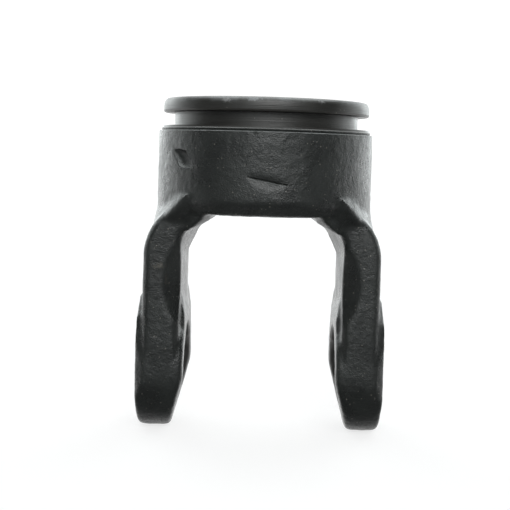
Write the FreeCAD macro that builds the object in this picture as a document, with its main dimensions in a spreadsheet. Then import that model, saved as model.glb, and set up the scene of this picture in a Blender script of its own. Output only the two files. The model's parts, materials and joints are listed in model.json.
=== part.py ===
"""Forged end yoke of a cardan shaft: one steel forging, partly machined.

Frame: the origin is the centre of the universal joint, where the axis of the two ear
bores crosses the axis of the hub. +X runs along the ear bores, +Z up the hub, and the
forging's parting plane is the XZ plane. Sizes are in millimetres and degrees.
"""
import FreeCAD, Part
import math
import os
import Sketcher
from FreeCAD import Placement, Rotation, Vector

SIZES = {
    # ears and the bores for the cross
    "ear_gap": (54.0, "between the inner faces of the two ears"),
    "ear_round": (23.5, "radius of the ears about the bore, half the forging's depth"),
    "bore_size": (30.2, "diameter of the ear bores"),
    "bore_break": (0.8, "chamfer at the mouths of the ear bores"),
    "ring_seat": (79.4, "between the inner sides of the two snap ring grooves"),
    "ring_width": (1.7, "width of a snap ring groove"),
    "ring_depth": (1.0, "depth of a snap ring groove"),
    "ring_land": (3.1, "metal left outside a snap ring groove, out to the ear's face"),
    "rim_drop": (0.6, "radius lost over the bevel round an ear's outer face"),
    "rim_run": (1.3, "length of that bevel along the bore"),
    "flank_drop": (3.0, "depth of the bevels down an ear's outer face, measured from face to face"),
    "flank_run": (3.3, "depth of those bevels along the bore"),
    "lip_drop": (1.3, "radius lost over the bevel round an ear's inner face"),
    "lip_run": (1.1, "length of that bevel along the bore"),
    "relief_start": (2.2, "depth below the bore's centre where the inner relief starts"),
    "relief_angle": (14.5, "lean of the relieved lower face"),
    # stems and arch
    "stem_inset": (1.4, "from an ear's outer face in to the stem's side at the parting plane"),
    "side_draft": (2.2, "draft angle of the outer sides"),
    "shoulder_round": (20.8, "radius that turns a stem into its shoulder"),
    "shoulder_drop": (15.2, "depth of that radius's centre below the hub's underside"),
    "shoulder_angle": (45.0, "slope of the shoulder"),
    "arch_overlap": (9.0, "how far the arch reaches up into the hub"),
    "edge_bevel": (1.8, "bevel along the outer edges of the arch"),
    # throat between the stems
    "crown_height": (57.0, "height of the hub's underside"),
    "face_step": (1.8, "from an ear's inner face back to the throat's side at both faces"),
    "throat_round": (12.4, "throat's corner radius at the near and far faces"),
    "throat_bevel": (2.0, "bevel along the throat's edges in both faces"),
    "trim_step": (0.7, "from an ear's inner face back to the throat's side as trimmed at mid-depth"),
    "trim_low_drop": (15.0, "depth of the trimmed facets' lower corner below the crown"),
    "trim_middle_drop": (5.8, "depth of their middle corner below the crown"),
    "trim_middle_in": (3.7, "how far that corner stands in from the ear's inner face"),
    "trim_top_in": (12.4, "how far in the facets reach the crown"),
    # scallops that clear the other yoke
    "scallop_radius": (24.2, "radius of a scallop at the near or far face"),
    "scallop_inset": (16.1, "from an ear's inner face in to a scallop's axis"),
    "scallop_height": (32.0, "height of a scallop's axis"),
    "scallop_depth": (7.0, "depth to which a scallop is cut"),
    "scallop_taper": (8.6, "radius lost over that depth"),
    # hub
    "hub_size": (79.2, "diameter of the forged hub"),
    "hub_length": (41.0, "from the hub's underside to its end face"),
    "turning_cut": (1.65, "metal turned off the hub's side for the flange and the land"),
    "track_depth": (4.2, "depth of the turned ring track below the flange's side"),
    "flange_width": (5.1, "thickness of the flange at the hub's end"),
    "track_width": (4.8, "width of the ring track"),
    "land_width": (0.7, "width of the turned land below the track"),
    "flange_break": (1.6, "depth to which the flange's upper edge is broken, twice the lower one's"),
    "skirt_height": (4.7, "height of the bevel round the hub's lower edge"),
    "skirt_inset": (3.5, "radius lost over that bevel"),
    "flare_drop": (2.5, "depth below the hub's underside where the flares leave the arch's faces"),
    "flare_rise": (6.5, "height above it where they meet the hub's side"),
    "flare_sink": (0.4, "how deep in the hub's side their upper edges lie"),
    "flare_root": (3.0, "how far behind those faces the flares are rooted"),
    "web_drop": (6.5, "depth below the hub's underside where a web meets the shoulder"),
    "web_rise": (1.5, "height above it where the web meets the hub's side"),
    "web_root": (5.2, "how deep the web is rooted inside the hub's side"),
    "web_spread": (56.0, "angle that a web covers round the hub"),
    "hub_bore": (35.0, "diameter of the hub's bore"),
    "hub_break": (1.0, "chamfer at the outer mouth of the hub's bore"),
    "overrun": (3.0, "how far a cut runs out past the metal"),
    # two old strike marks in the hub: the front one and the one to the left of it
    "front_mark_height": (12.7, "height of the front mark's deepest line above the hub's underside"),
    "front_mark_turn": (1.5, "place of the front mark round the hub, from the front towards +X"),
    "front_mark_depth": (0.75, "depth of the front mark"),
    "front_mark_length": (14.0, "length of the front mark"),
    "front_mark_floor": (12.0, "angle between the front mark's floor and the hub's side"),
    "front_mark_wall": (32.0, "angle between the front mark's upper wall and the hub's side"),
    "front_mark_roll": (10.0, "slope of the front mark's line"),
    "left_mark_height": (21.0, "height of the left mark's deepest line above the hub's underside"),
    "left_mark_turn": (-48.0, "place of the left mark round the hub, from the front towards +X"),
    "left_mark_depth": (0.65, "depth of the left mark"),
    "left_mark_length": (12.0, "length of the left mark"),
    "left_mark_floor": (9.0, "angle between the left mark's floor and the hub's side"),
    "left_mark_wall": (50.0, "angle between the left mark's upper wall and the hub's side"),
    "left_mark_roll": (24.0, "slope of the left mark's line"),
}

# Two places closer than this are the same place.
NEARLY = 0.01

doc = FreeCAD.newDocument("forged_yoke_model")


def make_sheet():
    """The driving dimensions, one alias a row."""
    sheet = doc.addObject("Spreadsheet::Sheet", "dim")
    for row, (alias, (size, meaning)) in enumerate(SIZES.items(), start=1):
        sheet.set(f"A{row}", meaning)
        sheet.set(f"B{row}", str(size))
        sheet.setAlias(f"B{row}", alias)
    doc.recompute()
    return sheet


make_sheet()
body = doc.addObject("PartDesign::Body", "forged_yoke")
body.Label = "forged_yoke"

# Expressions that several features share.
RING = "dim.ring_seat / 2"
RING_END = f"({RING} + dim.ring_width)"
EAR_FACE = f"({RING_END} + dim.ring_land)"
EAR_INNER = "dim.ear_gap / 2"
STEM = f"({EAR_FACE} - dim.stem_inset)"
BEND = "dim.shoulder_round"
SLOPE = "dim.shoulder_angle * 1 deg"
TURN_ACROSS = f"({STEM} - {BEND} + {BEND} * cos({SLOPE}))"
TURN_DROP = f"(dim.shoulder_drop - {BEND} * sin({SLOPE}))"
EAR = "dim.ear_round"
BORE = "dim.bore_size / 2"
HUB = "dim.hub_size / 2"
HUB_END = "(dim.crown_height + dim.hub_length)"
TURNED = f"({HUB} - dim.turning_cut)"
TRACK = f"({TURNED} - dim.track_depth)"
TRACK_TOP = f"({HUB_END} - dim.flange_width)"
TRACK_FOOT = f"({TRACK_TOP} - dim.track_width)"
LAND_FOOT = f"({TRACK_FOOT} - dim.land_width)"
HUB_BORE = "dim.hub_bore / 2"
OVERRUN = "dim.overrun"


def number(expression):
    """Value of an expression in the sheet's sizes."""
    result = body.evalExpression(expression)
    return float(getattr(result, "Value", result))


def origin_feature(role):
    """Plane or axis of the body's own origin."""
    return next(item for item in body.Origin.OriginFeatures if item.Role == role)


def hold(sketch, edge, end, place):
    """Pin one end of an edge at its place, bound to the sheet."""
    for kind, axis, size in (("DistanceX", -2, place[0]), ("DistanceY", -1, place[1])):
        if size == "0":
            sketch.addConstraint(Sketcher.Constraint("PointOnObject", edge, end, axis))
            continue
        rule = Sketcher.Constraint(kind, -1, 1, edge, end, number(size))
        index = sketch.addConstraint(rule)
        sketch.setExpression(f"Constraints[{index}]", size)


def arc_between(start, end, radius):
    """Short arc that bulges to the right of the way from start to end."""
    chord = end - start
    left = Vector(-chord.y, chord.x, 0).normalize()
    centre = (start + end) / 2 + left * math.sqrt(radius ** 2 - (chord.Length / 2) ** 2)
    first = math.atan2(start.y - centre.y, start.x - centre.x)
    last = math.atan2(end.y - centre.y, end.x - centre.x)
    return Part.ArcOfCircle(Part.Circle(centre, Vector(0, 0, 1), radius), first, last)


def draw(name, plane, corners, shift=None):
    """Closed outline on an origin plane, its corners counter-clockwise.

    A corner is (across, up) where a straight edge starts, and (across, up, radius)
    where an arc that bulges outwards starts.
    """
    sketch = body.newObject("Sketcher::SketchObject", name)
    sketch.AttachmentSupport = [(origin_feature(plane), "")]
    sketch.MapMode = "FlatFace"
    if shift:
        sketch.setExpression("AttachmentOffset.Base.z", shift)
    places = [Vector(number(corner[0]), number(corner[1]), 0) for corner in corners]
    for index, corner in enumerate(corners):
        start, end = places[index], places[(index + 1) % len(corners)]
        if len(corner) == 3:
            sketch.addGeometry(arc_between(start, end, number(corner[2])))
        else:
            sketch.addGeometry(Part.LineSegment(start, end))
    for index, corner in enumerate(corners):
        before = (index - 1) % len(corners)
        sketch.addConstraint(Sketcher.Constraint("Coincident", before, 2, index, 1))
        hold(sketch, index, 1, corner)
        if len(corner) == 3:
            rule = Sketcher.Constraint("Radius", index, number(corner[2]))
            place = sketch.addConstraint(rule)
            sketch.setExpression(f"Constraints[{place}]", corner[2])
    return sketch


def both_sides(right):
    """Outline whose corners on the +X side go up from the bottom, and their mirror.

    An arc starts at the corner that names its radius, so on the mirrored side the
    radius moves to the other end of the same edge.
    """
    left = []
    for index in range(len(right) - 1, -1, -1):
        across, up = right[index][:2]
        arc = right[index - 1][2:] if index > 0 else ()
        left.append((f"-({across})", up) + arc)
    return right + left


def feature(kind, name, **settings):
    """Feature of the body, set up and computed."""
    made = body.newObject(f"PartDesign::{kind}", name)
    for key, setting in settings.items():
        setattr(made, key, setting)
    body.Tip = made
    doc.recompute()
    return made


def turned(kind, name, sketch, axis, angle=360.0):
    """Turn of an outline about an origin axis, half to each side, added or cut."""
    return feature(kind, name, Profile=sketch, ReferenceAxis=(origin_feature(axis), [""]),
                   Angle=angle, Midplane=angle < 360.0)


def mirrored(name, originals, plane):
    """The same features on the other side of an origin plane."""
    return feature("Mirrored", name, Originals=originals,
                   MirrorPlane=(origin_feature(plane), [""]))


def make_arch():
    """Stems, shoulders and the web under the hub, drafted from the parting plane."""
    top_across = f"({TURN_ACROSS} - (dim.arch_overlap + {TURN_DROP}) * tan({SLOPE}))"
    sketch = draw("arch_outline", "XZ_Plane", both_sides([
        (STEM, f"-{EAR} * tan(dim.side_draft * 1 deg)"),
        (STEM, "dim.crown_height - dim.shoulder_drop", BEND),
        (TURN_ACROSS, f"dim.crown_height - {TURN_DROP}"),
        (top_across, "dim.crown_height + dim.arch_overlap"),
    ]))
    arch = body.newObject("PartDesign::Pad", "arch")
    arch.Profile = sketch
    arch.SideType = "Two sides"
    for side in ("", "2"):
        arch.setExpression(f"Length{side}", EAR)
        arch.setExpression(f"TaperAngle{side}", "-dim.side_draft")
    body.Tip = arch
    doc.recompute()
    return arch


def make_flares():
    """Flares that lead the arch's near and far faces out to the hub's round side.

    Their ends go on along the shoulders' slope, in line with the faces' bevelled edges.
    """
    draft = f"{EAR} * tan(dim.side_draft * 1 deg)"

    def end(rise, bevel):
        return (f"({TURN_ACROSS} - ({rise} + {TURN_DROP}) * tan({SLOPE})"
                f" - ({draft} + {bevel}) / cos({SLOPE}))")
    behind = f"-({EAR} - dim.flare_root)"
    foot = end("(-dim.flare_drop)", "dim.edge_bevel")
    root = draw("flare_root_outline", "XY_Plane", [
        (f"-{foot}", f"-{EAR}"), (foot, f"-{EAR}"), (foot, behind), (f"-{foot}", behind),
    ], "dim.crown_height - dim.flare_drop")
    top = end("dim.flare_rise", "dim.edge_bevel / 2")
    bow = f"({HUB} - dim.flare_sink)"
    side = f"-sqrt({bow} ^ 2 - {top} ^ 2)"
    lip = draw("flare_lip_outline", "XY_Plane", [
        (f"-{top}", side, bow), (top, side), (top, behind), (f"-{top}", behind),
    ], "dim.crown_height + dim.flare_rise")
    flare = feature("AdditiveLoft", "flare", Profile=root, Sections=[lip], Ruled=True)
    return mirrored("flares", [flare], "XZ_Plane")


def make_throat():
    """Opening between the stems: round corners and bevels at both faces, facets between.

    It is cut on through the flares with the outline that it has in the faces.
    """
    foot = f"-({OVERRUN})"
    corner_across = f"({EAR_INNER} + dim.face_step - dim.throat_round)"
    corner_up = "(dim.crown_height - dim.throat_round)"

    def round_corners(grow):
        bend = f"(dim.throat_round + {grow})"
        half_turn = f"{bend} * sin(45 deg)"
        return both_sides([
            (f"{corner_across} + {bend}", foot),
            (f"{corner_across} + {bend}", corner_up, bend),
            (f"{corner_across} + {half_turn}", f"{corner_up} + {half_turn}", bend),
            (corner_across, f"{corner_up} + {bend}"),
        ])
    facets = both_sides([
        (f"{EAR_INNER} + dim.trim_step", foot),
        (f"{EAR_INNER} + dim.trim_step", "dim.crown_height - dim.trim_low_drop"),
        (f"{EAR_INNER} - dim.trim_middle_in", "dim.crown_height - dim.trim_middle_drop"),
        (f"{EAR_INNER} - dim.trim_top_in", "dim.crown_height"),
    ])
    bevel = "dim.throat_bevel"
    inset = f"({EAR} - {bevel})"
    near = draw("throat_near", "XZ_Plane", round_corners(bevel), EAR)
    sections = [
        draw("throat_near_inset", "XZ_Plane", round_corners("0"), inset),
        draw("throat_middle", "XZ_Plane", facets),
        draw("throat_far_inset", "XZ_Plane", round_corners("0"), f"-{inset}"),
        draw("throat_far", "XZ_Plane", round_corners(bevel), f"-{EAR}"),
    ]
    feature("SubtractiveLoft", "throat", Profile=near, Sections=sections, Ruled=True)
    mouth = draw("throat_mouth", "XZ_Plane", round_corners(bevel), EAR)
    cut = feature("Pocket", "throat_opening", Profile=mouth, Reversed=True)
    cut.setExpression("Length", f"{HUB} - {EAR}")
    doc.recompute()
    return mirrored("throat_openings", [cut], "XZ_Plane")


def bevel_arch(arch):
    """Bevel along the arch's outer edges in its near and far faces."""
    names = []
    for index, edge in enumerate(arch.Shape.Edges, start=1):
        box = edge.BoundBox
        in_face = box.YLength < NEARLY and abs(abs(box.YMin) - number(EAR)) < NEARLY
        above_foot = edge.CenterOfMass.z > NEARLY
        if in_face and above_foot:
            names.append(f"Edge{index}")
    made = feature("Chamfer", "arch_edges", Base=(arch, names))
    made.setExpression("Size", "dim.edge_bevel")
    doc.recompute()


def make_ears():
    """Round ears about the bore's axis, bevelled round their outer and inner faces."""
    sketch = draw("ear_outline", "XZ_Plane", [
        (EAR_INNER, "0"),
        (EAR_FACE, "0"),
        (EAR_FACE, f"{EAR} - dim.rim_drop"),
        (f"{EAR_FACE} - dim.rim_run", EAR),
        (f"{EAR_INNER} + dim.lip_run", EAR),
        (EAR_INNER, f"{EAR} - dim.lip_drop"),
    ])
    ear = turned("Revolution", "ear", sketch, "X_Axis")
    return mirrored("ears", [ear], "YZ_Plane")


def make_reliefs():
    """Lower half of each ear's inner face, cut back by a leaning plane."""
    top = "-dim.relief_start"
    foot = f"-({EAR} + {OVERRUN})"
    lean = f"({EAR} + {OVERRUN} - dim.relief_start) * tan(dim.relief_angle * 1 deg)"
    sketch = draw("relief_outline", "XZ_Plane", [
        (f"{EAR_INNER} - {OVERRUN}", foot),
        (f"{EAR_INNER} + {lean}", foot),
        (EAR_INNER, top),
        (f"{EAR_INNER} - {OVERRUN}", top),
    ])
    cut = feature("Pocket", "relief", Profile=sketch, Type="ThroughAll", Midplane=True)
    return mirrored("reliefs", [cut], "YZ_Plane")


def make_hub():
    """Hub with its bevelled lower edge, turned land, ring track and broken flange edges."""
    steep = "dim.flange_break * tan(22.5 deg)"
    sketch = draw("hub_outline", "XZ_Plane", [
        ("0", "dim.crown_height"),
        (f"{HUB} - dim.skirt_inset", "dim.crown_height"),
        (HUB, "dim.crown_height + dim.skirt_height"),
        (HUB, f"{LAND_FOOT} - dim.turning_cut"),
        (TURNED, LAND_FOOT),
        (TURNED, TRACK_FOOT),
        (TRACK, TRACK_FOOT),
        (TRACK, TRACK_TOP),
        (f"{TURNED} - dim.flange_break / 2", TRACK_TOP),
        (TURNED, f"{TRACK_TOP} + dim.flange_break / 2"),
        (TURNED, f"{HUB_END} - dim.flange_break"),
        (f"{TURNED} - {steep}", f"{HUB_END} - {steep}"),
        (f"{TURNED} - dim.flange_break", HUB_END),
        ("0", HUB_END),
    ])
    return turned("Revolution", "hub", sketch, "Z_Axis")


def make_webs():
    """Webs that fill the notch between the hub's lower edge and each shoulder."""
    foot = "(dim.crown_height - dim.web_drop)"
    meet = "(dim.crown_height + dim.web_rise)"
    shoulder = f"({STEM} - {BEND} + sqrt({BEND} ^ 2 - (dim.shoulder_drop - dim.web_drop) ^ 2))"
    inside = f"({HUB} - dim.web_root)"
    top = "(dim.crown_height + dim.skirt_height)"
    sketch = draw("web_outline", "XZ_Plane", [
        (inside, foot),
        (shoulder, foot),
        (HUB, meet),
        (HUB, top),
        (inside, top),
    ])
    web = turned("Revolution", "web", sketch, "Z_Axis", number("dim.web_spread"))
    return mirrored("webs", [web], "YZ_Plane")


def make_hub_bore():
    """Plain bore through the hub into the throat, chamfered at its outer mouth."""
    sketch = draw("hub_bore_outline", "XZ_Plane", [
        ("0", f"dim.crown_height - {OVERRUN}"),
        (HUB_BORE, f"dim.crown_height - {OVERRUN}"),
        (HUB_BORE, f"{HUB_END} - dim.hub_break"),
        (f"{HUB_BORE} + dim.hub_break + {OVERRUN}", f"{HUB_END} + {OVERRUN}"),
        ("0", f"{HUB_END} + {OVERRUN}"),
    ])
    return turned("Groove", "hub_bore", sketch, "Z_Axis")


def make_ear_bores():
    """Bore of each ear for a bearing cup, with its snap ring groove and chamfers."""
    floor = f"({BORE} + dim.ring_depth)"
    wide = f"({BORE} + dim.bore_break + {OVERRUN})"
    sketch = draw("ear_bore_outline", "XZ_Plane", [
        (f"{EAR_INNER} - {OVERRUN}", "0"),
        (f"{EAR_FACE} + {OVERRUN}", "0"),
        (f"{EAR_FACE} + {OVERRUN}", wide),
        (f"{EAR_FACE} - dim.bore_break", BORE),
        (RING_END, BORE),
        (RING_END, floor),
        (RING, floor),
        (RING, BORE),
        (f"{EAR_INNER} + dim.bore_break", BORE),
        (f"{EAR_INNER} - {OVERRUN}", wide),
    ])
    cut = turned("Groove", "ear_bore", sketch, "X_Axis")
    return mirrored("ear_bores", [cut], "YZ_Plane")


def make_flanks():
    """Bevels down the near and far sides of each ear's outer face."""
    slope = "dim.flank_drop / dim.flank_run"
    start = f"{EAR_FACE} - dim.flank_run - {OVERRUN} / ({slope})"
    end = f"{EAR} - dim.flank_drop - {OVERRUN} * {slope}"
    out_x = f"{EAR_FACE} + {OVERRUN}"
    out_y = f"{EAR} + {OVERRUN}"
    corners = [(start, out_y), (out_x, out_y), (out_x, end)]
    for side, across in (("left", "-1"), ("right", "1")):
        for face, along in (("near", "-1"), ("far", "1")):
            outline = [(f"{across} * ({x})", f"{along} * ({y})") for x, y in corners]
            if across == along:
                outline.reverse()
            sketch = draw(f"flank_outline_{side}_{face}", "XY_Plane", outline)
            feature("Pocket", f"flank_{side}_{face}", Profile=sketch, Type="ThroughAll",
                    Midplane=True)


def make_scallops():
    """Four coned cuts at the stems' inner edges, two in each face."""
    for side, across in (("left", -1), ("right", 1)):
        for face, along in (("near", -1), ("far", 1)):
            cone = body.newObject("PartDesign::SubtractiveCone", f"scallop_{side}_{face}")
            cone.setExpression("Radius1", "dim.scallop_radius")
            cone.setExpression("Radius2", "dim.scallop_radius - dim.scallop_taper")
            cone.setExpression("Height", "dim.scallop_depth")
            turn = Rotation(Vector(1, 0, 0), 90 * along)
            cone.Placement = Placement(Vector(), turn)
            for axis, place in (("x", f"{across} * ({EAR_INNER} - dim.scallop_inset)"),
                                ("y", f"{along} * {EAR}"),
                                ("z", "dim.scallop_height")):
                cone.setExpression(f"Placement.Base.{axis}", place)
            body.Tip = cone
            doc.recompute()


def make_mark(name):
    """Old strike mark: a shallow V across the hub, its upper wall steeper than its floor."""
    apex = f"-({HUB} - dim.{name}_depth)"
    mouth = f"-({HUB} + {OVERRUN})"
    run = f"(dim.{name}_depth + {OVERRUN})"
    sketch = draw(f"{name}_outline", "YZ_Plane", [
        (apex, "0"),
        (mouth, f"{run} / tan(dim.{name}_wall * 1 deg)"),
        (mouth, f"-{run} / tan(dim.{name}_floor * 1 deg)"),
    ])
    turn = Rotation(Vector(0, 1, 0), number(f"dim.{name}_turn"))
    roll = Rotation(Vector(1, 0, 0), number(f"dim.{name}_roll"))
    sketch.AttachmentOffset = Placement(Vector(), turn * roll)
    sketch.setExpression("AttachmentOffset.Base.y", f"dim.crown_height + dim.{name}_height")
    cut = feature("Pocket", name, Profile=sketch, Midplane=True)
    cut.setExpression("Length", f"dim.{name}_length")
    doc.recompute()


def check_model():
    """Stop where an object failed or the yoke isn't one valid solid."""
    for item in doc.Objects:
        if "Invalid" in item.State or "Error" in item.State:
            raise RuntimeError(f"{item.Name} could not be made: {item.State}")
    shape = body.Shape
    if shape.isNull() or not shape.isValid() or len(shape.Solids) != 1:
        raise RuntimeError("the yoke is not one valid solid")


bevel_arch(make_arch())
make_flares()
make_throat()
make_ears()
make_flanks()
make_reliefs()
make_scallops()
make_hub()
make_webs()
make_hub_bore()
make_ear_bores()
make_mark("front_mark")
make_mark("left_mark")
check_model()

os.makedirs("parts", exist_ok=True)
body.Shape.exportStep("parts/forged_yoke.step")
print(f"forged_yoke: volume {body.Shape.Volume / 1000:.1f} cm3, {len(body.Shape.Faces)} faces")
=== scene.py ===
"""Looks of the forged yoke: a die-forged blank that is turned, bored and painted.

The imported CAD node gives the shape. A merged copy of it is filled where metal is cut
away later, remeshed and softened as a forging comes out of its die, and then machined
again, so that forged skin and turned surfaces meet as on the real part. Places are in
the part's own frame, with +X along the ear bores and +Z up the hub. Lengths are in
metres, except where a comment or docstring says millimetres.
"""

import json
import math

import bpy
from bpy.props import FloatProperty, FloatVectorProperty, IntProperty, PointerProperty
from mathutils import Matrix, Vector


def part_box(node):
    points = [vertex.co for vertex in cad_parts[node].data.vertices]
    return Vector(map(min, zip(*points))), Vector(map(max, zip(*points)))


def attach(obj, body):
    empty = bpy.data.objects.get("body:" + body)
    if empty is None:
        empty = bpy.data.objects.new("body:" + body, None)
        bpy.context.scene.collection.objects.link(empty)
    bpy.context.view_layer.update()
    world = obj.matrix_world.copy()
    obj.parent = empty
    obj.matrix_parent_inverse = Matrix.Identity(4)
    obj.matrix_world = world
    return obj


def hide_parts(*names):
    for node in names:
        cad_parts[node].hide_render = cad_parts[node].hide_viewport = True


bl_info = {
    "name": "Forged Yoke",
    "version": (1, 0, 0),
    "blender": (4, 5, 0),
    "location": "View3D > Sidebar > Yoke",
    "description": "Forged and machined finish of a shaft yoke, with its studio",
    "category": "Object",
}

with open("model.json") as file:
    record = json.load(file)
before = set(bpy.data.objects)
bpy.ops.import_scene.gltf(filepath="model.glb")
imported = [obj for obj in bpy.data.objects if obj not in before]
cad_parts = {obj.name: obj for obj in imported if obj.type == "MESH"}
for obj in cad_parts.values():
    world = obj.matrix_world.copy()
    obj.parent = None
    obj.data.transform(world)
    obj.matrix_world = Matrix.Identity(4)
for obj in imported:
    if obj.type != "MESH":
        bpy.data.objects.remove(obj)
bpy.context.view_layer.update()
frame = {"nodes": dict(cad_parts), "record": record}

NODE = "forged_yoke"
PIECE = "yoke_forging"
MM = 0.001
LOW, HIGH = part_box(NODE)
MOUNTS = {mount["name"]: mount for mount in frame["record"]["mounts"]}

# Forms that the forging has on top of the CAD shape: corners of their hulls in
# millimetres. Each list is for the +X, +Y side, and is mirrored to the others.
EAR_FACE = HIGH.x / MM - 0.07
EAR_PAD = [(38, 21, -8), (EAR_FACE, 20, -8), (38, 18, -15), (EAR_FACE, 16.5, -15),
           (38, 23, 0), (EAR_FACE, 20.8, 0), (38, 23, 16), (EAR_FACE, 20.8, 13),
           (44.3, 20.4, 19), (38, 20.8, 23), (43.3, 17.8, 27.2), (38, 18, 27.4)]
EAR_BOSS = [(36, 17, 8), (27.02, 17, 8), (36, 15.5, 27.2), (28, 15, 26.8), (27.1, 16.5, 20)]
RIDGE = [(35.3, 23.4, 54.4), (31.5, 26.8, 58.9), (27, 30.8, 64), (24, 23.4, 53.5),
         (24.5, 30.9, 62.5), (36.5, 18, 56.5), (38, 14, 57), (31, 24.6, 63.5),
         (30, 18, 55), (24, 26, 64)]
BROW = [(18.3, 30.6, 58.4), (25.5, 25.6, 58.4), (18.3, 23.4, 55), (27, 23.4, 50.4),
        (18.5, 19, 55), (27.4, 19, 50.4), (18.5, 19, 58), (28, 19, 57.5)]

# Plugs that fill the machined surfaces before the blank is remeshed
PLUG_SIDES = 128
EAR_PLUG_START = 32 * MM
BORE_PLUG_TOP = 90 * MM
TRACK_PLUG_FOOT = 85 * MM
TRACK_PLUG_OVER = 1.6 * MM

# Unevenness of the forged skin: size of its lumps, and the noise level that stays in
# place. Faces that meet at less than the shading angle look round.
SWELL_GRAIN = 7 * MM
PEEL_GRAIN = 1.9 * MM
SKIN_LEVEL = 0.87
SHADE_ANGLE = math.radians(32)

# Machined surfaces. The land's run-out into the forged hub has (out, up) points in
# millimetres, from the turned radius and the land's foot.
WELD = 0.001 * MM
CUTTER_STEPS = 192
LAND_RUNOUT = [(1.25, -1.1), (0.35, -1.1), (0.65, -0.3), (0.3, 0.05), (0, 0.05)]
HUB_DRILL_FOOT = 50 * MM
HUB_BEVEL = 4 * MM
EAR_INNER_FACE = 27 * MM
EAR_BEVEL = 4.8 * MM
RING_GROOVE = (39.7 * MM, 41.4 * MM)
GROOVE_DEPTH = 1 * MM

# Strike marks on the hub, placed by their height over the crown of the fork's opening.
# The front one has (in, up) points in millimetres, the left one the radii of a ball.
CROWN = 57 * MM
FRONT_MARK = [(1.25, 0), (0.45, -1), (0, -3), (-3, -14), (-3, 1.8)]
LEFT_MARK = (6.6 * MM, 2.6 * MM, 3.5 * MM)

# Wear in the paint, and painted highlights. Each rubbed place and each painted highlight has
# its centre and reach in millimetres, and a colour.
# Lighter specks laid over both paints: paint chips and painted glints.
CHIP_AND_GLINT_COLOUR = (0.11, 0.103, 0.09)
# Lighter patches on the flange's upper outer edge: worn paint and painted highlight.
SCUFF_AND_HIGHLIGHT_COLOUR = (0.075, 0.077, 0.078)
# On the left stem: two rubbed places. The larger one also stands for the painted highlight of
# a nick.
STEM_RUBS_AND_HIGHLIGHT = [((-36.2, -23.4, 38.3), (2.9, 2, 1.4), (0.05, 0.046, 0.037)),
             ((-33.5, -23.4, 33), (0.7, 2, 3), (0.035, 0.032, 0.026))]
# On the flange's top: a rubbed place, two painted highlights, and a darker spot.
FLANGE_RUBS_AND_HIGHLIGHTS = [((-13.6, -35, 96.6), (2.2, 4, 1), (0.2, 0.2, 0.2)),
               ((-4.8, -37, 97), (3.4, 4, 0.8), (0.17, 0.175, 0.18)),
               ((18.7, -33, 97), (1.4, 4, 0.8), (0.15, 0.15, 0.15)),
               ((-31.5, -20, 97), (1, 3, 1.1), (0.006, 0.006, 0.006))]

# The studio
FLOOR_SIZE = 12
FLOOR_SEEN = 0.75
FLOOR_MIRRORED = 1.1
WALL_DIM, WALL_BRIGHT = 0.2, 3.6
FRONT_PATCH = Vector((0.03, -1, -0.07))
FRONT_NARROWNESS = 6
FRONT_BRIGHT = 2.3
ROOF_SHEEN = 6
LAMP_PLACE = Vector((0.08, -0.72, 0.42))
LAMP_TARGET = Vector((0, 0, 0.05))
LAMP_WIDTH, LAMP_DEPTH = 0.5, 0.2
LAMP_WATTS = 2.6
CAMERA_PLACE = (0, -0.3897, 0.0792)
CAMERA_YAW, CAMERA_DOWN, CAMERA_ROLL = 0.485, 2.834, 1.675
CAMERA_LENS = 73.86
CAMERA_SHIFT = -0.1


def mount_radius(name):
    """Radius of one of the record's round mounts, in metres."""
    return MOUNTS[name]["dims"]["r_mm"] * MM


# Sizes of the user's panel

class YokeSizes(bpy.types.PropertyGroup):
    """Sizes of the machined surfaces and of the forged skin."""
    grain: FloatProperty(
        name="Mesh grain", description="Voxel size of the forged skin's mesh",
        default=0.85 * MM, min=0.5 * MM, max=3 * MM, precision=5, unit="LENGTH")
    softening: IntProperty(
        name="Softening", description="Smoothing passes that round the forged edges",
        default=3, min=0, max=40)
    ear_softening: IntProperty(
        name="Ear softening", description="More smoothing passes, for the ears' lower ends",
        default=26, min=0, max=60)
    swell: FloatProperty(
        name="Swell", description="Height of the broad unevenness of the forged skin",
        default=0.22 * MM, min=0, max=1 * MM, precision=5, unit="LENGTH")
    peel: FloatProperty(
        name="Peel", description="Height of the fine unevenness of the forged skin",
        default=0.16 * MM, min=0, max=1 * MM, precision=5, unit="LENGTH")
    turned: FloatProperty(
        name="Turned radius", description="Radius of the turned flange and land",
        default=37.95 * MM, precision=5, unit="LENGTH")
    track: FloatProperty(
        name="Track radius", description="Radius of the ring track's floor",
        default=33.75 * MM, precision=5, unit="LENGTH")
    track_top: FloatProperty(
        name="Track top", description="Height of the track's upper wall",
        default=92.9 * MM, precision=5, unit="LENGTH")
    track_foot: FloatProperty(
        name="Track foot", description="Height of the track's lower wall",
        default=88.1 * MM, precision=5, unit="LENGTH")
    land_foot: FloatProperty(
        name="Land foot", description="Height where the turned land meets the forged hub",
        default=87.4 * MM, precision=5, unit="LENGTH")
    flange_break: FloatProperty(
        name="Flange rounding", description="Rounding of the flange's upper edge",
        default=1.6 * MM, precision=5, unit="LENGTH")


class YokeColours(bpy.types.PropertyGroup):
    """Colours of the paint on forged and on turned metal."""
    paint: FloatVectorProperty(
        name="Paint", description="Colour of the paint on the forged skin",
        default=(0.0112, 0.0128, 0.0119), size=3, min=0, max=1, subtype="COLOR")
    turned: FloatVectorProperty(
        name="Turned paint", description="Colour of the thin paint on turned metal",
        default=(0.016, 0.0152, 0.0135), size=3, min=0, max=1, subtype="COLOR")


# Helpers for modelling

def settle(piece):
    """Make a piece the only selected and active object."""
    if bpy.context.mode != "OBJECT":
        bpy.ops.object.mode_set(mode="OBJECT")
    bpy.ops.object.select_all(action="DESELECT")
    bpy.context.view_layer.objects.active = piece
    piece.select_set(True)


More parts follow.
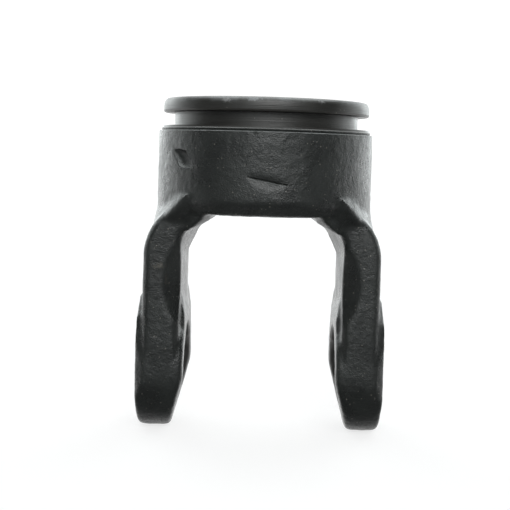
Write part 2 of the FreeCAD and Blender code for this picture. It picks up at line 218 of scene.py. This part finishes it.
def bake_place(piece):
    """Move a piece's place into its mesh."""
    settle(piece)
    bpy.ops.object.transform_apply(location=True, rotation=True, scale=True)


def face_outwards():
    """Turn all faces of the mesh in edit mode outwards, and leave edit mode."""
    bpy.ops.mesh.select_all(action="SELECT")
    bpy.ops.mesh.normals_make_consistent(inside=False)
    bpy.ops.object.mode_set(mode="OBJECT")


def merge(piece):
    """Join a piece's loose faces along their edges, and turn them outwards."""
    settle(piece)
    bpy.ops.object.mode_set(mode="EDIT")
    bpy.ops.mesh.select_all(action="SELECT")
    bpy.ops.mesh.remove_doubles(threshold=WELD)
    face_outwards()


def join(pieces):
    """One object of all these pieces, named as the first."""
    settle(pieces[0])
    for piece in pieces[1:]:
        piece.select_set(True)
    bpy.ops.object.join()
    return pieces[0]


def apply_modifier(piece, kind, **settings):
    """Add a modifier with these settings and apply it."""
    settle(piece)
    modifier = piece.modifiers.new(kind.title(), kind)
    for key, value in settings.items():
        setattr(modifier, key, value)
    bpy.ops.object.modifier_apply(modifier=modifier.name)


def rod(name, radius, start, end, along="Z"):
    """Closed cylinder between two places on an axis."""
    middle = (start + end) / 2
    place = (middle, 0, 0) if along == "X" else (0, 0, middle)
    turn = (0, math.pi / 2, 0) if along == "X" else (0, 0, 0)
    bpy.ops.object.select_all(action="DESELECT")
    bpy.ops.mesh.primitive_cylinder_add(
        vertices=PLUG_SIDES, radius=radius, depth=abs(end - start),
        location=place, rotation=turn)
    piece = bpy.context.active_object
    piece.name = name
    bake_place(piece)
    return piece


def hull(name, corners):
    """Closed solid stretched over these corners, given in millimetres."""
    mesh = bpy.data.meshes.new(name)
    mesh.from_pydata([Vector(corner) * MM for corner in corners], [], [])
    piece = bpy.data.objects.new(name, mesh)
    bpy.context.scene.collection.objects.link(piece)
    settle(piece)
    bpy.ops.object.mode_set(mode="EDIT")
    bpy.ops.mesh.select_all(action="SELECT")
    bpy.ops.mesh.convex_hull()
    face_outwards()
    return piece


def arc(radius, height, wide, tall, first, last, steps):
    """Outline points of an elliptical arc about a middle, between two angles in degrees."""
    points = []
    for step in range(steps + 1):
        angle = math.radians(first + (last - first) * step / steps)
        points.append((radius + wide * math.cos(angle), height + tall * math.sin(angle)))
    return points


def turned_cutter(name, outline, along="Z"):
    """Closed solid swept by an outline of (radius, height) points about an axis.

    An outline whose first and last points lie on the axis stays open between them.
    """
    bpy.ops.object.select_all(action="DESELECT")
    bpy.ops.mesh.primitive_circle_add(vertices=len(outline), fill_type="NOTHING")
    piece = bpy.context.active_object
    piece.name = name
    bake_place(piece)
    for vertex, (radius, height) in zip(piece.data.vertices, outline):
        vertex.co = (height, 0, radius) if along == "X" else (radius, 0, height)
    on_axis = {0, len(outline) - 1} if outline[0][0] == outline[-1][0] == 0 else set()
    settle(piece)
    bpy.ops.object.mode_set(mode="EDIT")
    bpy.ops.mesh.select_all(action="DESELECT")
    bpy.ops.mesh.select_mode(type="EDGE")
    bpy.ops.object.mode_set(mode="OBJECT")
    for edge in piece.data.edges:
        edge.select = bool(on_axis) and set(edge.vertices) == on_axis
    bpy.ops.object.mode_set(mode="EDIT")
    if on_axis:
        bpy.ops.mesh.delete(type="EDGE")
    bpy.ops.mesh.select_all(action="SELECT")
    axis = (1, 0, 0) if along == "X" else (0, 0, 1)
    bpy.ops.mesh.spin(steps=CUTTER_STEPS, angle=math.tau, center=(0, 0, 0), axis=axis)
    bpy.ops.mesh.select_all(action="SELECT")
    bpy.ops.mesh.remove_doubles(threshold=WELD)
    bpy.ops.mesh.dissolve_degenerate(threshold=WELD / 10)
    face_outwards()
    return piece


def wedge(name, height, turn, length, roll, profile):
    """Cutter for a strike mark in the hub's side: a bar with an (in, up) profile in mm.

    It lies at a height and at an angle round the hub, and is rolled about its own middle.
    """
    bpy.ops.object.select_all(action="DESELECT")
    bpy.ops.mesh.primitive_cylinder_add(vertices=len(profile), radius=1 * MM, depth=length)
    piece = bpy.context.active_object
    piece.name = name
    bake_place(piece)
    share = 360 / len(profile)
    place = (Matrix.Translation((0, 0, height)) @ Matrix.Rotation(math.radians(turn), 4, "Z")
             @ Matrix.Rotation(math.radians(roll), 4, "Y"))
    for vertex in piece.data.vertices:
        angle = math.degrees(math.atan2(vertex.co.x, vertex.co.y))
        deep, up = profile[int(round(angle / share)) % len(profile)]
        end = math.copysign(length / 2, vertex.co.z)
        vertex.co = place @ Vector((end, deep * MM - HIGH.y, up * MM))
    merge(piece)
    return piece


def leaf(name, height, turn, reach, deep, size, roll):
    """Cutter for a leaf-shaped strike mark: a ball of three radii with pointed ends."""
    bpy.ops.object.select_all(action="DESELECT")
    bpy.ops.mesh.primitive_uv_sphere_add(segments=32, ring_count=24, radius=1)
    piece = bpy.context.active_object
    piece.name = name
    place = (Matrix.Rotation(math.radians(turn), 4, "Z")
             @ Matrix.Translation((0, -HIGH.y - reach + deep, height))
             @ Matrix.Rotation(math.radians(roll), 4, "Y") @ Matrix.Diagonal((*size, 1)))
    for vertex in piece.data.vertices:
        point = vertex.co.copy()
        point.z *= 1 - 0.5 * abs(point.x)
        vertex.co = place @ point
    return piece


def ear_wear(x, z):
    """Share of the ears' own smoothing at a place in mm: full at their lower ends."""
    outside = (-8 - z) / 8
    inside = (8 - z) / 10 if abs(x) < 36 else 0
    return min(max(outside, inside), 1)


# Shader helpers

def new_material(name):
    """New node material and its Principled shader."""
    material = bpy.data.materials.new(name)
    material.use_nodes = True
    return material, material.node_tree.nodes["Principled BSDF"]


def add_node(tree, kind, place, **inputs):
    """Shader node with some of its inputs set."""
    node = tree.nodes.new(kind)
    node.location = place
    for key, value in inputs.items():
        node.inputs[key.replace("_", " ")].default_value = value
    return node


def link(tree, source, output, target, socket):
    """Join an output of one node to an input of another."""
    tree.links.new(source.outputs[output], target.inputs[socket])


def math_node(tree, operation, place, first, second=0):
    """Math node over one or two inputs, each a number or a (node, output) pair."""
    node = tree.nodes.new("ShaderNodeMath")
    node.operation = operation
    node.location = place
    for index, source in enumerate((first, second)):
        if isinstance(source, tuple):
            link(tree, *source, node, index)
        else:
            node.inputs[index].default_value = source
    return node


def ranged(tree, source, output, low, high, place, start=0.35, stop=0.65):
    """Map an output's values between start and stop onto the range from low to high."""
    node = tree.nodes.new("ShaderNodeMapRange")
    node.location = place
    sockets = ("From Min", "From Max", "To Min", "To Max")
    for socket, value in zip(sockets, (start, stop, low, high)):
        node.inputs[socket].default_value = value
    link(tree, source, output, node, "Value")
    return node


def two_tone(tree, mask, output, dark, light, place):
    """Blend two colours by a mask."""
    node = tree.nodes.new("ShaderNodeMix")
    node.data_type = "RGBA"
    node.location = place
    node.inputs["A"].default_value = (*dark, 1)
    node.inputs["B"].default_value = (*light, 1)
    link(tree, mask, output, node, "Factor")
    return node


def lay_over(tree, tone, mask, output, colour, place):
    """Lay a colour over a tone where a mask is set."""
    over = two_tone(tree, mask, output, colour, colour, place)
    link(tree, tone, "Result", over, "A")
    return over


def new_group(name, inputs, outputs):
    """Empty node group: each input has a number as its default, or None for a vector."""
    group = bpy.data.node_groups.new(name, "ShaderNodeTree")
    for key, value in inputs.items():
        kind = "NodeSocketVector" if value is None else "NodeSocketFloat"
        socket = group.interface.new_socket(key, in_out="INPUT", socket_type=kind)
        if value is not None:
            socket.default_value = value
    for key in outputs:
        group.interface.new_socket(key, in_out="OUTPUT", socket_type="NodeSocketFloat")
    return group, group.nodes.new("NodeGroupInput"), group.nodes.new("NodeGroupOutput")


def use_group(tree, name, source, place):
    """Node that runs one of the node groups over the object's own coordinates."""
    node = tree.nodes.new("ShaderNodeGroup")
    node.node_tree = bpy.data.node_groups[name]
    node.location = place
    link(tree, source, "Object", node, "Vector")
    return node


def skin_group():
    """Make the group for the relief of paint over forged scale: height and a patchy mask."""
    inputs = {"Vector": None, "Lump Scale": 520, "Grit Scale": 2300, "Grit Share": 0.42}
    group, start, end = new_group("forged_skin", inputs, ("Height", "Patches"))
    lumps = add_node(group, "ShaderNodeTexNoise", (0, 200), Detail=2.0, Roughness=0.55)
    grit = add_node(group, "ShaderNodeTexNoise", (0, 0), Detail=3.0, Roughness=0.6)
    patches = add_node(group, "ShaderNodeTexNoise", (0, -200), Scale=90.0, Detail=4.0)
    mix = group.nodes.new("ShaderNodeMix")
    mix.data_type = "FLOAT"
    for texture in (lumps, grit, patches):
        link(group, start, "Vector", texture, "Vector")
    link(group, start, "Lump Scale", lumps, "Scale")
    link(group, start, "Grit Scale", grit, "Scale")
    link(group, start, "Grit Share", mix, "Factor")
    link(group, lumps, "Fac", mix, "A")
    link(group, grit, "Fac", mix, "B")
    link(group, mix, "Result", end, "Height")
    link(group, patches, "Fac", end, "Patches")


def chips_and_glints_group():
    """Make the group for scattered lighter specks: a mask for paint chips and painted glints.
    """
    inputs = {"Vector": None, "Scale": 1500, "Share": 0.07, "Size": 0.4}
    group, start, end = new_group("chips_and_glints", inputs, ("Mask",))
    cells = add_node(group, "ShaderNodeTexVoronoi", (0, 0))
    link(group, start, "Vector", cells, "Vector")
    link(group, start, "Scale", cells, "Scale")
    chance = group.nodes.new("ShaderNodeSeparateColor")
    link(group, cells, "Color", chance, "Color")
    chosen = math_node(group, "LESS_THAN", (300, 100), (chance, "Red"), (start, "Share"))
    reach = math_node(group, "MULTIPLY", (300, -100), (chance, "Green"), (start, "Size"))
    near = math_node(group, "LESS_THAN", (500, -100), (cells, "Distance"), (reach, "Value"))
    mask = math_node(group, "MULTIPLY", (700, 0), (chosen, "Value"), (near, "Value"))
    link(group, mask, "Value", end, "Mask")


def rub_and_highlight_group():
    """Make the group for one ragged spot round a centre, used for rubbed places and for
    painted highlights.
    """
    inputs = {"Vector": None, "Centre": None, "Reach": None}
    group, start, end = new_group("rub_and_highlight_spot", inputs, ("Mask",))
    source = start, "Vector"
    for operation, name in (("SUBTRACT", "Centre"), ("DIVIDE", "Reach"), ("LENGTH", None)):
        step = group.nodes.new("ShaderNodeVectorMath")
        step.operation = operation
        link(group, *source, step, 0)
        if name:
            link(group, start, name, step, 1)
        source = step, "Vector"
    ragged = add_node(group, "ShaderNodeTexNoise", (0, -200), Scale=1400.0, Detail=4.0)
    link(group, start, "Vector", ragged, "Vector")
    uneven = math_node(group, "MULTIPLY", (200, -200), (ragged, "Fac"), 2.4)
    total = math_node(group, "ADD", (400, 0), (step, "Value"), (uneven, "Value"))
    mask = ranged(group, total, "Value", 1, 0, (600, 0), start=1.45, stop=2.1)
    link(group, mask, "Result", end, "Mask")


# Paints

def start_paint(name, colour, gloss, shades):
    """Paint whose roughness and tone follow the patches of the forged skin."""
    material, shader = new_material(name)
    tree = material.node_tree
    place = add_node(tree, "ShaderNodeTexCoord", (-1300, 0))
    skin = use_group(tree, "forged_skin", place, (-1000, 0))
    roughness = ranged(tree, skin, "Patches", *gloss, (-600, 0))
    link(tree, roughness, "Result", shader, "Roughness")
    patch = ranged(tree, skin, "Patches", 0, 1, (-800, 300))
    dark, light = ([shade * part for part in colour] for shade in shades)
    tone = two_tone(tree, patch, "Result", dark, light, (-400, 300))
    return material, shader, place, skin, tone


def relief(tree, shader, source, output, strength, distance):
    """Let an output stand up from the surface as fine relief."""
    bump = add_node(tree, "ShaderNodeBump", (-400, -300),
                    Strength=strength, Distance=distance)
    link(tree, source, output, bump, "Height")
    link(tree, bump, "Normal", shader, "Normal")


def finish_paint(tree, shader, place, tone, rubs_and_highlights, chip_and_glint_share):
    """Lay rubbed places, painted highlights, scattered chips and painted glints over a tone,
    and give it to the shader.
    """
    # Rubbed places and painted highlights, each a ragged spot of its own colour.
    for centre, reach, colour in rubs_and_highlights:
        spot = use_group(tree, "rub_and_highlight_spot", place, (-500, 900))
        spot.inputs["Centre"].default_value = [part * MM for part in centre]
        spot.inputs["Reach"].default_value = [part * MM for part in reach]
        tone = lay_over(tree, tone, spot, "Mask", colour, (-300, 900))
    # Lighter specks: paint chips and painted glints.
    chips_and_glints = use_group(tree, "chips_and_glints", place, (-400, 600))
    chips_and_glints.inputs["Share"].default_value = chip_and_glint_share
    tone = lay_over(tree, tone, chips_and_glints, "Mask", CHIP_AND_GLINT_COLOUR, (-200, 400))
    link(tree, tone, "Result", shader, "Base Color")


def forged_paint(name, colour):
    """Semi-gloss paint over forged skin."""
    material, shader, place, skin, tone = start_paint(
        name, colour, gloss=(0.24, 0.36), shades=(0.75, 1.3))
    tree = material.node_tree
    relief(tree, shader, skin, "Height", 0.6, 0.6 * MM)
    finish_paint(tree, shader, place, tone, STEM_RUBS_AND_HIGHLIGHT, 0.07)
    return material


def turned_paint(name, colour):
    """Thin paint on turned steel, with the lathe's fine lines and an upper edge painted
    lighter in blotches: scuffs and a painted highlight.
    """
    material, shader, place, _, tone = start_paint(
        name, colour, gloss=(0.3, 0.4), shades=(0.85, 1.15))
    tree = material.node_tree
    parts = tree.nodes.new("ShaderNodeSeparateXYZ")
    link(tree, place, "Object", parts, "Vector")
    rings = add_node(tree, "ShaderNodeTexNoise", (-800, -300), Scale=2200.0, Detail=2.0)
    rings.noise_dimensions = "1D"
    link(tree, parts, "Z", rings, "W")
    relief(tree, shader, rings, "Fac", 0.35, 0.2 * MM)

    # The flange's upper outer edge is painted lighter in blotches: scuffs and painted
    # highlight.
    rim = ranged(tree, parts, "Z", 0, 1, (-800, 600),
                 start=HIGH.z - 2.2 * MM, stop=HIGH.z - 0.6 * MM)
    across = math_node(tree, "MULTIPLY", (-1200, 900), (parts, "X"), (parts, "X"))
    along = math_node(tree, "MULTIPLY", (-1200, 1100), (parts, "Y"), (parts, "Y"))
    around = math_node(tree, "ADD", (-1000, 1000), (across, "Value"), (along, "Value"))
    radius = math_node(tree, "SQRT", (-900, 1000), (around, "Value"))
    outer = ranged(tree, radius, "Value", 0, 1, (-800, 1000), start=35 * MM, stop=36.6 * MM)
    corner = math_node(tree, "MULTIPLY", (-700, 600), (rim, "Result"), (outer, "Result"))
    blotches = add_node(tree, "ShaderNodeTexNoise", (-1000, 600), Scale=180.0, Detail=5.0)
    link(tree, place, "Object", blotches, "Vector")
    blotch_mask = ranged(tree, blotches, "Fac", 0, 1, (-800, 800), start=0.5, stop=0.62)
    scuff_and_highlight = math_node(tree, "MULTIPLY", (-600, 600), (corner, "Value"), (blotch_mask, "Result"))
    tone = lay_over(tree, tone, scuff_and_highlight, "Value", SCUFF_AND_HIGHLIGHT_COLOUR, (-300, 500))
    finish_paint(tree, shader, place, tone, FLANGE_RUBS_AND_HIGHLIGHTS, 0.02)
    return material


def paint_turned_faces(piece, sizes):
    """Give the turned material to the faces that the lathe and the drills leave."""
    bore = mount_radius("cross_bore") + 1.3 * MM
    hub_bore = mount_radius("hub_bore") + 0.3 * MM
    for face in piece.data.polygons:
        x, y, z = face.center
        around = math.hypot(x, y)
        lathe = z > sizes.land_foot - 0.4 * MM and around > 30 * MM
        hub = around < hub_bore and z > HUB_DRILL_FOOT
        ear = math.hypot(y, z) < bore and abs(x) > 25 * MM
        end = z > HIGH.z - 0.01 * MM
        face.material_index = int(lathe or hub or ear or end)


# Studio

def studio_world():
    """Light tent: bright behind the part, dim in front but for a soft patch at the camera."""
    world = bpy.data.worlds.new("studio")
    world.use_nodes = True
    tree = world.node_tree
    way = add_node(tree, "ShaderNodeTexCoord", (-1200, 0))
    parts = tree.nodes.new("ShaderNodeSeparateXYZ")
    link(tree, way, "Generated", parts, "Vector")

    behind = ranged(tree, parts, "Y", WALL_DIM, WALL_BRIGHT, (-900, 200), start=0, stop=0.75)
    aside = math_node(tree, "ABSOLUTE", (-1000, 400), (parts, "X"))
    broad = ranged(tree, aside, "Value", 0.3, 1, (-900, 400), start=0.08, stop=0.5)
    sides = math_node(tree, "MULTIPLY", (-700, 300), (behind, "Result"), (broad, "Result"))
    roof = ranged(tree, parts, "Z", 1, 0.45, (-900, 0), start=0.25, stop=0.7)
    wall = math_node(tree, "MULTIPLY", (-600, 100), (sides, "Value"), (roof, "Result"))

    facing = tree.nodes.new("ShaderNodeVectorMath")
    facing.operation = "DOT_PRODUCT"
    facing.location = (-900, -200)
    facing.inputs[1].default_value = FRONT_PATCH.normalized()
    link(tree, way, "Generated", facing, 0)
    ahead = math_node(tree, "MAXIMUM", (-700, -200), (facing, "Value"), 0)
    patch = math_node(tree, "POWER", (-500, -200), (ahead, "Value"), FRONT_NARROWNESS)
    soft = math_node(tree, "MULTIPLY", (-300, -200), (patch, "Value"), FRONT_BRIGHT)
    light = math_node(tree, "ADD", (-100, 0), (wall, "Value"), (soft, "Value"))

    rays = add_node(tree, "ShaderNodeLightPath", (-500, 300))
    above = ranged(tree, parts, "Z", 0, ROOF_SHEEN, (-500, 500), start=0.66, stop=0.92)
    sheen = math_node(tree, "MULTIPLY", (-300, 400), (above, "Result"),
                      (rays, "Is Glossy Ray"))
    full = math_node(tree, "ADD", (0, 100), (light, "Value"), (sheen, "Value"))
    shown = math_node(tree, "MAXIMUM", (100, 0), (full, "Value"), (rays, "Is Camera Ray"))
    tint = two_tone(tree, rays, "Is Camera Ray", (0.95, 1, 1), (1, 1, 1), (100, -200))
    back = tree.nodes["Background"]
    link(tree, tint, "Result", back, "Color")
    link(tree, shown, "Value", back, "Strength")
    return world


def floor_paint():
    """Pale floor that glows to the camera, and behind the part in reflections."""
    material, shader = new_material("pale_floor")
    tree = material.node_tree
    shader.inputs["Base Color"].default_value = (0.3, 0.3, 0.3, 1)
    shader.inputs["Roughness"].default_value = 1
    shader.inputs["Emission Color"].default_value = (1, 1, 1, 1)
    rays = add_node(tree, "ShaderNodeLightPath", (-600, 0))
    seen = math_node(tree, "MULTIPLY", (-400, 0), (rays, "Is Camera Ray"), FLOOR_SEEN)
    place = add_node(tree, "ShaderNodeTexCoord", (-1100, -300))
    parts = tree.nodes.new("ShaderNodeSeparateXYZ")
    link(tree, place, "Object", parts, "Vector")
    under = ranged(tree, parts, "Y", 0, FLOOR_MIRRORED, (-700, -300),
                   start=-16 * MM, stop=0)
    lit = math_node(tree, "MULTIPLY", (-400, -200), (rays, "Is Glossy Ray"),
                    (under, "Result"))
    glow = math_node(tree, "ADD", (-200, 0), (seen, "Value"), (lit, "Value"))
    link(tree, glow, "Value", shader, "Emission Strength")
    return material


def add_lamp(scene):
    """Soft lamp above and in front of the part."""
    lamp = bpy.data.lights.new("lamp_above", "AREA")
    lamp.shape = "RECTANGLE"
    lamp.size = LAMP_WIDTH
    lamp.size_y = LAMP_DEPTH
    lamp.energy = LAMP_WATTS
    holder = bpy.data.objects.new("lamp_above", lamp)
    scene.collection.objects.link(holder)
    turn = (LAMP_TARGET - LAMP_PLACE).to_track_quat("-Z", "Y").to_matrix()
    holder.matrix_world = Matrix.Translation(LAMP_PLACE) @ turn.to_4x4()


def add_camera(scene):
    """Camera in the photo's place."""
    camera = bpy.data.cameras.new("camera")
    camera.lens = CAMERA_LENS
    camera.sensor_width = 36
    camera.shift_y = CAMERA_SHIFT
    holder = bpy.data.objects.new("camera", camera)
    scene.collection.objects.link(holder)
    turn = (Matrix.Rotation(math.radians(CAMERA_YAW), 4, "Z")
            @ Matrix.Rotation(math.radians(90 - CAMERA_DOWN), 4, "X")
            @ Matrix.Rotation(math.radians(CAMERA_ROLL), 4, "Z"))
    holder.matrix_world = Matrix.Translation(CAMERA_PLACE) @ turn
    scene.camera = holder


# Steps of the panel

class YOKE_OT_blank(bpy.types.Operator):
    """Make the forged blank from the CAD shape: filled, remeshed, softened and uneven"""
    bl_idname = "yoke.blank"
    bl_label = "Forged blank"

    def execute(self, context):
        sizes = context.scene.yoke_sizes
        blank = bpy.data.objects.new(PIECE, frame["nodes"][NODE].data.copy())
        context.scene.collection.objects.link(blank)
        blank.data.materials.clear()
        merge(blank)

        ear_fill = mount_radius("cross_bore") + 1.6 * MM
        hub_fill = mount_radius("hub_bore") + 2 * MM
        plugs = []
        for side in (-1, 1):
            ends = side * EAR_PLUG_START, side * (HIGH.x - 0.01 * MM)
            plugs.append(rod("ear_plug", ear_fill, *ends, "X"))
        plugs.append(rod("bore_plug", hub_fill, CROWN + 0.1 * MM, BORE_PLUG_TOP))
        plugs.append(rod("track_plug", HIGH.y, TRACK_PLUG_FOOT, HIGH.z + TRACK_PLUG_OVER))
        for across in (-1, 1):
            for name, corners in (("ear_pad", EAR_PAD), ("ear_boss", EAR_BOSS)):
                plugs.append(hull(name, [(across * x, along * y, z) for x, y, z in corners
                                         for along in (-1, 1)]))
            for along in (-1, 1):
                for name, corners in (("ridge", RIDGE), ("brow", BROW)):
                    plugs.append(hull(name, [(across * x, along * y, z)
                                             for x, y, z in corners]))
        blank = join([blank] + plugs)

        apply_modifier(blank, "REMESH", mode="VOXEL", voxel_size=sizes.grain)
        apply_modifier(blank, "SMOOTH", factor=0.5, iterations=sizes.softening)
        worn = blank.vertex_groups.new(name="worn")
        for vertex in blank.data.vertices:
            share = ear_wear(vertex.co.x / MM, vertex.co.z / MM)
            if share > 0:
                worn.add([vertex.index], share, "REPLACE")
        apply_modifier(blank, "SMOOTH", factor=0.5, iterations=sizes.ear_softening,
                       vertex_group="worn")
        for name, height, grain in (("swell", sizes.swell, SWELL_GRAIN),
                                    ("peel", sizes.peel, PEEL_GRAIN)):
            texture = bpy.data.textures.new(name, "CLOUDS")
            texture.noise_scale = grain
            texture.noise_depth = 1
            apply_modifier(blank, "DISPLACE", texture=texture, texture_coords="LOCAL",
                           strength=height, mid_level=SKIN_LEVEL)
        return {"FINISHED"}


class YOKE_OT_machine(bpy.types.Operator):
    """Turn the flange and the ring track, and bore the hub and the ears"""
    bl_idname = "yoke.machine"
    bl_label = "Machined cuts"

    def execute(self, context):
        sizes = context.scene.yoke_sizes
        blank = bpy.data.objects[PIECE]
        cutters = [turned_cutter("lathe", self.lathe_outline(sizes))]

        bore = mount_radius("hub_bore")
        top = HIGH.z + 3 * MM
        hub = [(0, HUB_DRILL_FOOT), (bore, HUB_DRILL_FOOT), (bore, HIGH.z - 1 * MM),
               (bore + HUB_BEVEL, top), (0, top)]
        cutters.append(turned_cutter("hub_drill", hub))

        bore = mount_radius("cross_bore")
        wide, deep = bore + EAR_BEVEL, bore + GROOVE_DEPTH
        first, last = EAR_INNER_FACE - 4 * MM, HIGH.x + 4 * MM
        groove_in, groove_out = RING_GROOVE
        ear = [(0, first), (wide, first), (bore, EAR_INNER_FACE + 0.8 * MM), (bore, groove_in),
               (deep, groove_in), (deep, groove_out), (bore, groove_out),
               (bore, HIGH.x - 0.8 * MM), (wide, last), (0, last)]
        for side in (-1, 1):
            outline = [(radius, side * height) for radius, height in ear]
            cutters.append(turned_cutter("ear_drill", outline, "X"))

        cutters.append(wedge("front_mark", CROWN + 12.7 * MM, 1.5, 14 * MM, 10, FRONT_MARK))
        cutters.append(leaf("left_mark", CROWN + 19.1 * MM, -46.5, 1.5 * MM, 1.1 * MM,
                            LEFT_MARK, 30))
        for cutter in cutters:
            apply_modifier(blank, "BOOLEAN", operation="DIFFERENCE", object=cutter,
                           solver="EXACT")
            bpy.data.objects.remove(cutter)
        return {"FINISHED"}

    def lathe_outline(self, sizes):
        """Outline of what the lathe takes off: outside the land, track and flange."""
        turned, foot = sizes.turned, sizes.land_foot
        outside = HIGH.y + 3 * MM
        over = HIGH.z + 4 * MM
        upper = sizes.flange_break
        lower = upper / 2
        points = [(turned + out * MM, foot + up * MM) for out, up in LAND_RUNOUT]
        hub_radius, hub_height = points[0]
        points += [(turned, sizes.track_foot), (sizes.track, sizes.track_foot),
                   (sizes.track, sizes.track_top)]
        points += arc(turned - lower, sizes.track_top + lower, lower, lower, -90, 0, 4)
        points += arc(turned - upper, HIGH.z - 1.7 * upper, upper, 1.7 * upper, 0, 90, 6)
        points += [(5 * MM, HIGH.z), (5 * MM, over), (outside, over),
                   (outside, hub_height - (outside - hub_radius))]
        return points


class YOKE_OT_paint(bpy.types.Operator):
    """Paint the forging and set it in the place of the CAD node"""
    bl_idname = "yoke.paint"
    bl_label = "Paint"

    def execute(self, context):
        colours = context.scene.yoke_colours
        piece = bpy.data.objects[PIECE]
        skin_group()
        chips_and_glints_group()
        rub_and_highlight_group()
        piece.data.materials.clear()
        piece.data.materials.append(forged_paint("black_paint", colours.paint))
        piece.data.materials.append(turned_paint("turned_paint", colours.turned))
        paint_turned_faces(piece, context.scene.yoke_sizes)
        settle(piece)
        bpy.ops.object.shade_smooth_by_angle(angle=SHADE_ANGLE)
        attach(piece, "root")
        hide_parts(NODE)
        return {"FINISHED"}


class YOKE_OT_stage(bpy.types.Operator):
    """Set up the pale floor, the soft light and the camera"""
    bl_idname = "yoke.stage"
    bl_label = "Studio"

    def execute(self, context):
        scene = context.scene
        bpy.ops.object.select_all(action="DESELECT")
        bpy.ops.mesh.primitive_plane_add(size=FLOOR_SIZE, location=(0, 0, LOW.z))
        floor = context.active_object
        floor.name = "floor"
        bake_place(floor)
        floor.data.materials.append(floor_paint())
        scene.world = studio_world()
        add_lamp(scene)
        add_camera(scene)
        scene.view_settings.view_transform = "Standard"
        return {"FINISHED"}


class YOKE_PT_panel(bpy.types.Panel):
    """Steps and sizes of the yoke's finish"""
    bl_idname = "YOKE_PT_panel"
    bl_label = "Forged Yoke"
    bl_space_type = "VIEW_3D"
    bl_region_type = "UI"
    bl_category = "Yoke"

    def draw(self, context):
        layout = self.layout
        for group in (context.scene.yoke_sizes, context.scene.yoke_colours):
            for key in group.bl_rna.properties.keys():
                if key not in ("rna_type", "name"):
                    layout.prop(group, key)
        for step in STEPS:
            layout.operator(step.bl_idname)


STEPS = (YOKE_OT_blank, YOKE_OT_machine, YOKE_OT_paint, YOKE_OT_stage)
CLASSES = (YokeSizes, YokeColours) + STEPS + (YOKE_PT_panel,)


def register():
    """Register the classes and the scene's own settings."""
    for item in CLASSES:
        bpy.utils.register_class(item)
    bpy.types.Scene.yoke_sizes = PointerProperty(type=YokeSizes)
    bpy.types.Scene.yoke_colours = PointerProperty(type=YokeColours)


def unregister():
    """Remove the settings and the classes."""
    del bpy.types.Scene.yoke_colours
    del bpy.types.Scene.yoke_sizes
    for item in reversed(CLASSES):
        bpy.utils.unregister_class(item)


def main():
    """Make the yoke and its studio."""
    register()
    bpy.ops.yoke.blank()
    bpy.ops.yoke.machine()
    bpy.ops.yoke.paint()
    bpy.ops.yoke.stage()


if __name__ == "__main__":
    main()
